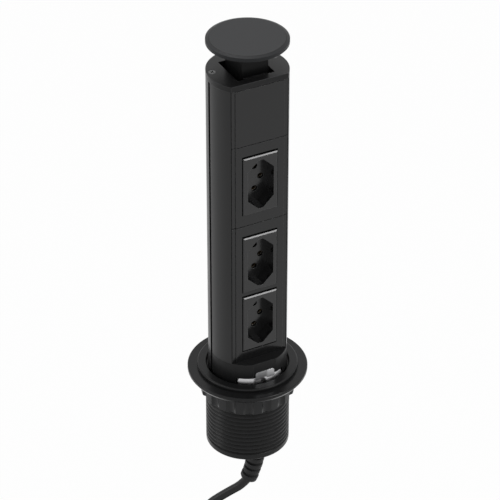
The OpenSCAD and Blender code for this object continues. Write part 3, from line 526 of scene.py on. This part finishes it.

# Hank tie: a black hook-and-loop strap, wrapped once round the folded lead and lapped over
# itself on the front. Its loops make a soft, fuzzy face with fine woven ribs along it.
TIE_HEIGHT = 12.0
TIE_THICKNESS = 1.1
TIE_HALF_WIDTH = 33.65
TIE_HALF_DEPTH = 11.65
TIE_CORNER = 4.55
TIE_CORNER_STEPS = 7
TIE_START = 20
TIE_LAP = 26
TIE_MIDDLE = HANK_TOP - HANK_RUN / 2
HANK_SIDE = 7.2


def tie_path():
    """Points and outward ways once round the turns, about a millimetre apart."""
    wrap = []
    x, y = TIE_HALF_WIDTH - TIE_CORNER, TIE_HALF_DEPTH - TIE_CORNER
    centres = [(x, y), (-x, y), (-x, -y), (x, -y)]
    for quarter, centre in enumerate(centres):
        for step in range(TIE_CORNER_STEPS + 1):
            angle = math.pi / 2 * (quarter + step / TIE_CORNER_STEPS)
            way = Vector((math.cos(angle), math.sin(angle)))
            wrap.append((Vector(centre) + TIE_CORNER * way, way))
        start, way = wrap[-1]
        end = Vector(centres[(quarter + 1) % 4]) + TIE_CORNER * way
        parts = int((end - start).length)
        for part in range(1, parts):
            wrap.append((start.lerp(end, part / parts), way))
    return wrap


def tie_loops():
    """The strap's section along its wrap and its lap."""
    wrap = tie_path()
    section = [
        (-0.5, -0.4), (-0.47, -0.5), (0.47, -0.5), (0.5, -0.4),
        (0.5, 0.4), (0.47, 0.5), (-0.47, 0.5), (-0.5, 0.4),
    ]
    loops = []
    for number in range(len(wrap) + TIE_LAP):
        point, way = wrap[(number + TIE_START) % len(wrap)]
        lift = 1.1 * TIE_THICKNESS * ease(number, len(wrap) - 7, len(wrap))
        loop = []
        for high, out in section:
            stand = point + (lift + out * TIE_THICKNESS) * way
            loop.append(
                in_plane(HANK_MIDDLE + stand.x, TIE_MIDDLE + high * TIE_HEIGHT, HANK_SIDE + stand.y)
            )
        loops.append(loop)
    return loops


hank_tie = loft("hank_tie_strap", tie_loops())
strap, place = start_finish("hook and loop strap")
fuzz = place.noise(1900, 5, 0.7)
rib = place.node(
    "ShaderNodeTexWave",
    {"bands_direction": "Z"},
    {"Vector": place, "Scale": 230.0, "Distortion": 1.5},
)
end_finish(
    strap,
    place,
    relief=0.6 * fuzz + 0.4 * rib,
    relief_depth=0.0003,
    Base_Color=fuzz.tint((0.006, 0.006, 0.0065), (0.030, 0.030, 0.032)),
    Roughness=0.9,
    Specular_IOR_Level=0.15,
    Sheen_Weight=0.25,
)
hank_tie.data.materials.append(strap)
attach(hank_tie, "tower")
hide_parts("hank_tie")

# Plug: a black moulding over the lead's end, flat, with finger ribs in its waist, a sloped
# shoulder and a neck that tapers onto the lead. Its three pins are turned and nickel plated.
PLUG_ALONG = -28.7
PLUG_TOP = -300.0
PLUG_RINGS = [
    (0.0, 4.4, 4.4), (-5.0, 4.9, 4.9), (-12.0, 5.5, 5.5), (-18.0, 6.3, 6.2), (-21.5, 7.2, 6.8),
    (-23.5, 10.0, 7.4), (-24.6, 13.2, 7.9), (-25.8, 15.2, 8.2), (-27.5, 15.9, 8.3),
    (-29.5, 15.6, 8.1), (-31.0, 15.3, 7.8), (-32.0, 15.9, 8.3), (-33.2, 15.9, 8.3),
    (-34.2, 15.0, 7.5), (-35.4, 15.0, 7.5), (-36.4, 15.9, 8.3), (-37.6, 15.9, 8.3),
    (-38.6, 15.0, 7.5), (-39.8, 15.0, 7.5), (-40.8, 15.9, 8.3), (-42.0, 15.9, 8.3),
    (-43.0, 15.3, 7.8), (-45.0, 15.8, 8.1), (-47.5, 16.8, 8.45), (-50.5, 16.95, 8.5),
    (-53.3, 16.95, 8.5), (-53.8, 16.7, 8.2), (-54.0, 16.2, 7.7),
]
PLUG_SIDES = 56


def plug_loops():
    """Rounded sections of the plug, from its neck down to the face that holds the pins."""
    heights = [Vector(ring) for ring in PLUG_RINGS]
    loops = []
    for ring in smooth_line(heights, 3):
        square = 2 + 2.4 * ease(-ring[0], 20, 26)
        loop = []
        for k in range(PLUG_SIDES):
            turn = 2 * math.pi * k / PLUG_SIDES
            c, s = math.cos(turn), math.sin(turn)
            x = ring[1] * math.copysign(abs(c) ** (2 / square), c)
            y = ring[2] * math.copysign(abs(s) ** (2 / square), s)
            loop.append(in_plane(PLUG_ALONG + x, PLUG_TOP + ring[0], y))
        loops.append(loop)
    return loops


plug = loft("plug", plug_loops(), crease=0.9)
plug_skin, place = start_finish("plug moulding")
haze = place.noise(45, 3)
end_finish(
    plug_skin,
    place,
    relief=place.noise(2400, 3),
    relief_depth=0.00003,
    Base_Color=haze.tint((0.010, 0.010, 0.0105), (0.016, 0.016, 0.0165)),
    Roughness=0.36 + 0.14 * haze,
    Specular_IOR_Level=0.35,
)
plug.data.materials.append(plug_skin)
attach(plug, "tower")
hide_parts("plug_body")

nickel, place = start_finish("nickel plate")
turned = place.stretched(1, 1, 60).noise(60, 3)
end_finish(
    nickel,
    place,
    relief=turned,
    relief_depth=0.00002,
    edge=0.0005,
    Base_Color=turned.tint((0.58, 0.57, 0.54), (0.68, 0.67, 0.65)),
    Metallic=1.0,
    Roughness=0.2 + 0.15 * turned,
)
dress(nickel, "plug_pins")


# Barrel and nut: injection moulded in black glass-filled nylon, semi-matt, with short glass
# fibres just showing as a fine streaked grain. Their edges are painted lighter, partly for
# rubbing and partly as a painted highlight.
def black_skin(name, shade, rough, shine, grain=2200, grain_depth=0.00002, edge=0.0004, wear_and_highlight=2.2):
    """A black moulded or coated skin: clouded tone, fine grain, faint scuffs, and edges painted
    lighter, partly for rubbing and partly as a painted highlight.
    """
    made, place = start_finish(name)
    cloud = place.noise(26, 3)
    scuff = place.noise(9, 5, 0.7).steps((0.55, 0.0), (0.75, 1.0))
    worn_and_highlit = place.worn_and_highlit_edges(edge)
    tone = cloud.tint(
        (0.86 * shade, 0.87 * shade, 0.89 * shade), (1.12 * shade, 1.14 * shade, 1.18 * shade)
    )
    # The lighter edge colour is partly rubbing and partly a painted highlight.
    rubbed_and_highlit = (wear_and_highlight * shade, wear_and_highlight * shade, 1.04 * wear_and_highlight * shade)
    return end_finish(
        made,
        place,
        relief=place.noise(grain, 3),
        relief_depth=grain_depth,
        edge=edge,
        Base_Color=(0.7 * worn_and_highlit).tint(tone, rubbed_and_highlit),
        Roughness=rough + 0.08 * cloud + 0.1 * scuff,
        Specular_IOR_Level=shine,
    )


THREAD_ROOT_R = 31.45
THREAD_CREST_R = 32.2

nylon, place = start_finish("glass filled nylon")
crest = place.node(
    "ShaderNodeMapRange",
    {},
    {"Value": place.from_axis(), "From Min": THREAD_ROOT_R * MM, "From Max": THREAD_CREST_R * MM},
)
flow = place.stretched(1, 1, 5).noise(240, 3)
rubbed_and_highlit = place.worn_and_highlit_edges(0.0002)
skin_tone = flow.tint((0.012, 0.0122, 0.0125), (0.018, 0.0183, 0.019))
end_finish(
    nylon,
    place,
    relief=flow,
    relief_depth=0.00002,
    edge=0.00018,
    # Thread roots painted near black as painted shade in the grooves; crest edges painted lighter,
    # partly rubbing and partly a painted highlight.
    Base_Color=(0.75 * rubbed_and_highlit * crest).tint(
        crest.tint((0.0025, 0.0025, 0.0026), skin_tone), (0.05, 0.051, 0.053)
    ),
    Roughness=0.42 - 0.16 * crest,
    Specular_IOR_Level=0.18,
)
dress(nylon, "barrel")
nut_nylon = black_skin("nut nylon", 0.024, 0.30, 0.24, grain=3000, grain_depth=0.00002, wear_and_highlight=4)
dress(nut_nylon, "nut")

# Bezel ring and what holds and guides the tower: a powder-coated ring on three zinc-plated
# screws from below, an acetal glide ring under it, and two steel pins in the side grooves.
ring_coat = black_skin("bezel coat", 0.014, 0.24, 0.18, grain=1500, grain_depth=0.000012)
dress(ring_coat, "bezel_ring")
acetal = black_skin("acetal", 0.010, 0.34, 0.2, grain=900)
dress(acetal, "glide_ring")


def zinc_plate(name, shade, rough):
    """Zinc plating: a mottled pale metal with fine drawn marks."""
    made, place = start_finish(name)
    mottle = place.noise(340, 4)
    drawn = place.stretched(1, 1, 14).noise(420, 3)
    return end_finish(
        made,
        place,
        relief=drawn,
        relief_depth=0.000015,
        edge=0.0002,
        Base_Color=mottle.tint(
            (0.8 * shade, 0.81 * shade, 0.83 * shade), (shade, shade, 0.98 * shade)
        ),
        Metallic=1.0,
        Roughness=rough + 0.16 * mottle,
    )


zinc = zinc_plate("zinc plate", 0.62, 0.26)
dress(zinc, "bezel_screws", "guide_pins", "clamp_washer")

# Seat gasket: a flat ring cut from soft black foam rubber, stuck under the flange. It beds the
# flange on the desk and hides the cut edge of the hole.
foam, place = start_finish("foam rubber")
cells = place.node("ShaderNodeTexVoronoi", {}, {"Vector": place, "Scale": 1600.0})
end_finish(
    foam,
    place,
    relief=cells,
    relief_depth=0.00015,
    Base_Color=cells.tint((0.020, 0.020, 0.021), (0.008, 0.008, 0.008)),
    Roughness=0.85,
    Specular_IOR_Level=0.2,
)
dress(foam, "seat_gasket")

# Base block: the black nylon foot of the tower, turned true where it slides in the barrel, with
# its cover, the lead's clamp and the zinc screws that hold them.
foot_nylon = black_skin("foot nylon", 0.012, 0.30, 0.2, grain=2600, wear_and_highlight=9)
dress(foot_nylon, "base_block")
cover_nylon = black_skin("cover nylon", 0.013, 0.40, 0.2, grain=2600, grain_depth=0.00003)
dress(cover_nylon, "base_cover", "cord_clamp")
dress(zinc, "base_screws", "base_cover_screws", "clamp_screws", "terminal_screws")

# Friction spring: a strip of spring steel bent round the front of the base block. Its two ends
# are dished so that they bear on the barrel, its middle lies flat under the rivet, and a tongue
# stands up behind it in the pocket. It is bright and drawn along its length.
BAND_TURNS = (-42, 32)
BAND_FLAT = (-18, -1)
BAND_LOW = 6.5
BAND_HEIGHT = 5.0
BAND_THICKNESS = 0.5
BAND_FLAT_R = 29.5
BAND_LOW_R = 29.92
BAND_DISH = 1.25
BAND_END_ROUND = 2.2
TONGUE_HALF_WIDTH = 7.9
TONGUE_FACE = 28.9
TONGUE_LOW = 10.1
TONGUE_TOP = 16.5
TONGUE_CORNER = 1.6
TONGUE_THICKNESS = 0.6
TONGUE_LEAN = 0.55


def band_loops():
    """The strip's section every half degree along the band, its ends rounded off."""
    loops = []
    steps = 2 * (BAND_TURNS[1] - BAND_TURNS[0])
    for step in range(steps + 1):
        degrees = BAND_TURNS[0] + step / 2
        turn = math.radians(degrees)
        to_end = min(step, steps - step) / 2 * math.radians(1) * BAND_FLAT_R
        short = max(BAND_END_ROUND - to_end, 0) / BAND_END_ROUND
        half = BAND_HEIGHT / 2 * math.sqrt(max(1 - short * short, 0.04))
        flat = ease(degrees, BAND_FLAT[0] - 1, BAND_FLAT[0] + 1)
        flat *= 1 - ease(degrees, BAND_FLAT[1] - 1, BAND_FLAT[1] + 1)
        front, back = [], []
        for part in range(9):
            rise = BAND_HEIGHT / 2 + half * (part / 4 - 1)
            share = rise / BAND_HEIGHT
            radius = BAND_LOW_R - BAND_DISH * share**1.6
            radius += (BAND_FLAT_R - 0.5 * BAND_DISH * share - radius) * flat
            for side, reach in ((front, radius), (back, radius - BAND_THICKNESS)):
                side.append(
                    MM * Vector((reach * math.sin(turn), -reach * math.cos(turn), BAND_LOW + rise))
                )
        loops.append(front + back[::-1])
    return loops


def tongue_loops():
    """The tongue's section across its width. Its upper corners are round and its right part
    leans back."""
    loops = []
    for step in range(33):
        x = TONGUE_HALF_WIDTH * (step / 16 - 1)
        in_corner = max(abs(x) - TONGUE_HALF_WIDTH + TONGUE_CORNER, 0)
        top = TONGUE_TOP - TONGUE_CORNER + math.sqrt(max(TONGUE_CORNER**2 - in_corner**2, 0.02))
        lean = TONGUE_LEAN * ease(x, 0.8, 2.4)
        front, back = [], []
        for part in range(7):
            share = part / 6
            y = lean * (share - 0.5) - TONGUE_FACE
            z = TONGUE_LOW + (top - TONGUE_LOW) * share
            front.append(MM * Vector((x, y, z)))
            back.append(MM * Vector((x, y + TONGUE_THICKNESS, z)))
        loops.append(front + back[::-1])
    return loops


band = loft("friction_band", band_loops())
tongue = loft("friction_tongue", tongue_loops())
spring_steel, place = start_finish("spring steel")
drawn = place.stretched(6, 6, 160).noise(16, 4)
smudge = place.noise(90, 3)
end_finish(
    spring_steel,
    place,
    relief=drawn,
    relief_depth=0.00002,
    edge=0.0003,
    Base_Color=smudge.tint((0.44, 0.44, 0.45), (0.62, 0.62, 0.63)),
    Metallic=1.0,
    Roughness=0.26 + 0.2 * drawn,
)
for leaf in (band, tongue):
    leaf.data.materials.append(spring_steel)
    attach(leaf, "tower")
    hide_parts("friction_spring")
dress(zinc_plate("rivet steel", 0.12, 0.35), "spring_rivet")

# Wiring: an ivory terminal block with three insulated wires in line, neutral and earth colours,
# and brass bars that carry each to the contacts.
ivory, place = start_finish("ivory moulding")
warm = place.noise(40, 3)
end_finish(
    ivory,
    place,
    relief=place.noise(1800, 3),
    relief_depth=0.00002,
    edge=0.0004,
    Base_Color=warm.tint((0.56, 0.53, 0.45), (0.66, 0.63, 0.56)),
    Roughness=0.42 + 0.12 * warm,
)
dress(
    ivory,
    "terminal_block",
    "contact_carrier_top",
    "contact_carrier_middle",
    "contact_carrier_bottom",
)

brass, place = start_finish("rolled brass")
rolled = place.stretched(30, 30, 1).noise(40, 3)
tarnish = place.noise(70, 4)
end_finish(
    brass,
    place,
    relief=rolled,
    relief_depth=0.00001,
    edge=0.0003,
    Base_Color=tarnish.tint((0.13, 0.095, 0.05), (0.045, 0.033, 0.02)),
    Metallic=1.0,
    Roughness=0.40 + 0.22 * tarnish,
)
dress(brass, "live_busbar", "neutral_busbar", "earth_busbar")
dress(zinc, "carrier_screws", "guide_screws", "cap_screws")


def wire_skin(name, shade, stripe=None):
    """Soft wire insulation in one colour, or with a second one in a stripe along it."""
    made, place = start_finish(name)
    dull = place.noise(160, 3)
    low = tuple(0.8 * part for part in shade)
    tone = dull.tint(low, shade)
    if stripe:
        band = place.node(
            "ShaderNodeTexWave", {"bands_direction": "X"}, {"Vector": place, "Scale": 160.0}
        )
        tone = band.steps((0.48, 0.0), (0.52, 1.0)).tint(tone, stripe)
    return end_finish(
        made,
        place,
        relief=dull,
        relief_depth=0.00003,
        Base_Color=tone,
        Roughness=0.35 + 0.15 * dull,
    )


dress(wire_skin("brown insulation", (0.16, 0.06, 0.025)), "live_wire")
dress(wire_skin("blue insulation", (0.03, 0.12, 0.42)), "neutral_wire")
dress(
    wire_skin("green and yellow insulation", (0.05, 0.30, 0.06), (0.75, 0.60, 0.06)), "earth_wire"
)
dress(lead_skin, "sheath_end")

# Tower: an extruded aluminium shell, open to the front, with a groove down each side, and its
# end plate. Both are powder coated satin black, with a fine orange peel in the coat.
powder = black_skin("powder coat", 0.017, 0.28, 0.30, grain=1300, grain_depth=0.00002)
dress(powder, "tower_profile")
# The end plate's edges are painted much lighter, partly rubbing and partly a painted highlight.
plate_coat = black_skin(
    "end plate coat", 0.012, 0.30, 0.22, grain=1300, grain_depth=0.00002, edge=0.0006, wear_and_highlight=12
)
dress(plate_coat, "end_plate")
dress(zinc_plate("blackened screw", 0.14, 0.22), "end_plate_screws")

# Panels: black moulded covers that snap over the front of the tower, one over another, smooth
# and a little glossy.
panel_skin = black_skin(
    "panel moulding", 0.013, 0.16, 0.38, grain=2400, grain_depth=0.000006, edge=0.0003, wear_and_highlight=7
)
dress(panel_skin, "panel_blank", "panel_single", "panel_double")

# Socket inserts and their recess floors: glossier black mouldings that stand proud of the
# panels. Their edges, as round the mouth of each recess and the rims of its pin holes, are
# painted much lighter: partly rubbing by plugs and partly a painted highlight.
insert_skin = black_skin(
    "insert moulding", 0.012, 0.10, 0.50, grain=2400, grain_depth=0.000005, edge=0.00035, wear_and_highlight=16
)
dress(insert_skin, "socket_insert_top", "socket_insert_middle", "socket_insert_bottom")
floor_skin = black_skin(
    "recess floor moulding", 0.016, 0.16, 0.5, grain=2400, grain_depth=0.000008, wear_and_highlight=10
)
dress(floor_skin, "recess_floor_top", "recess_floor_middle", "recess_floor_bottom")

# Cap: a turned aluminium disc with a soft satin coat, on a smooth black box-shaped stem that
# slides in the end plate's slot. Its foot and guide box are plain mouldings.
CAP_LINE_R = 27.5
CAP_LINE_WIDTH = 0.6

cap_coat, place = start_finish("cap coat")
# Painted shade: a thin dark line round the cap where its flat top meets the sloping rim.
rim_shade_line = place.node(
    "ShaderNodeMath",
    {"operation": "COMPARE"},
    {0: place.from_axis(), 1: CAP_LINE_R * MM, 2: CAP_LINE_WIDTH / 2 * MM},
)
cloud = place.noise(22, 3)
cap_tone = cloud.tint((0.0190, 0.0198, 0.0215), (0.0235, 0.0245, 0.0265))
rubbed_and_highlit = place.worn_and_highlit_edges(0.0004)
end_finish(
    cap_coat,
    place,
    relief=place.noise(1800, 3),
    relief_depth=0.00002,
    edge=0.0003,
    # Edges painted lighter, partly for rubbing and partly as a painted highlight.
    Base_Color=rim_shade_line.tint(
        (0.5 * rubbed_and_highlit).tint(cap_tone, (0.05, 0.051, 0.053)), (0.006, 0.006, 0.006)
    ),
    Roughness=0.40 + 0.1 * cloud,
    Specular_IOR_Level=0.2,
)
dress(cap_coat, "cap_disc")
# The stem's colour is painted far darker than the other mouldings, as painted shade for its place
# under the cap; its foot and guide box share it.
stem_skin_painted_shade = black_skin("stem moulding", 0.005, 0.26, 0.12, grain=2400, grain_depth=0.00001, wear_and_highlight=5)
dress(stem_skin_painted_shade, "cap_stem", "stem_foot", "cap_guide")

# Cap spring: a coil of spring steel wire between the guide box's floor and the stem's foot,
# with its end turns closed.
SPRING_TURNS = 5
SPRING_STEPS = 24
SPRING_SIDES = 12
SPRING_R = 9.0
SPRING_WIRE_R = 0.8
SPRING_LOW = 226.6
SPRING_HIGH = 257.4
SPRING_Y = 1.9
SPRING_END_TURN = 0.8
SPRING_END_RISE = 1.4


def spring_loops():
    """The wire's rings along the coil."""
    free = SPRING_HIGH - SPRING_LOW - 2 * (SPRING_WIRE_R + SPRING_END_RISE)
    loops = []
    for step in range(SPRING_TURNS * SPRING_STEPS + 1):
        done = step / SPRING_STEPS
        closed_low = min(done, SPRING_END_TURN) / SPRING_END_TURN
        closed_high = max(done - SPRING_TURNS + SPRING_END_TURN, 0) / SPRING_END_TURN
        open_part = (done - SPRING_END_TURN) / (SPRING_TURNS - 2 * SPRING_END_TURN)
        rise = SPRING_END_RISE * (closed_low + closed_high) + free * min(max(open_part, 0), 1)
        turn = 2 * math.pi * done
        loop = []
        for k in range(SPRING_SIDES):
            round_wire = 2 * math.pi * k / SPRING_SIDES
            reach = SPRING_R + SPRING_WIRE_R * math.cos(round_wire)
            height = SPRING_LOW + SPRING_WIRE_R + rise + SPRING_WIRE_R * math.sin(round_wire)
            loop.append(
                MM * Vector((reach * math.cos(turn), SPRING_Y + reach * math.sin(turn), height))
            )
        loops.append(loop)
    return loops


coil = loft("cap_coil", spring_loops())
coil.data.materials.append(spring_steel)
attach(coil, "tower")
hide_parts("cap_spring")
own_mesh(coil)
